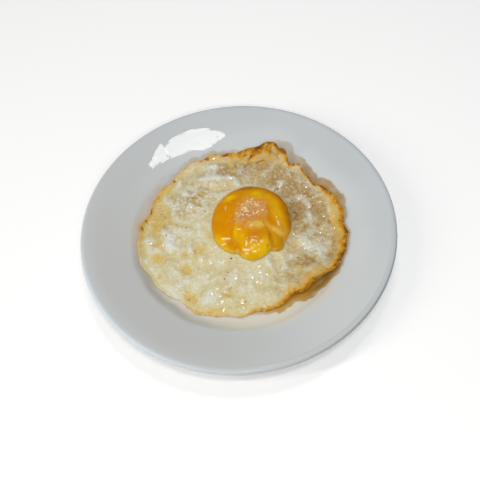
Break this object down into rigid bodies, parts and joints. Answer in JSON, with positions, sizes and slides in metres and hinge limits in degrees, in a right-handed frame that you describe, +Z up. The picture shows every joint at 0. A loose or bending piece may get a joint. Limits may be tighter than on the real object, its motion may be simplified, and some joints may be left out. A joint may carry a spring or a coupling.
{
  "type": "fried egg on a plate",
  "caption": "Fried egg, sunny side up, with a swollen glossy yolk and a crisp browned edge, on a round white side plate.",
  "frame": {"origin": "under the middle of the plate, on the surface that it stands on", "axes": "+Z up, the pictured front of the egg towards -Y"},
  "size_m": [0.18, 0.18, 0.0215],
  "materials": {
    "plate_glaze": "smooth cool white glaze with soft broad highlights, faintly greasy round the egg",
    "cooked_white": "moist, uneven cooked white with blisters, amber thin patches and a browned crisp edge",
    "cooked_yolk": "glossy orange yolk, brighter yellow at its flanks, with a pale cooked film on top"
  },
  "bodies": {
    "root": {"plate": "plate_glaze", "egg_white": "cooked_white", "yolk": "cooked_yolk"}
  },
  "joints": []
}
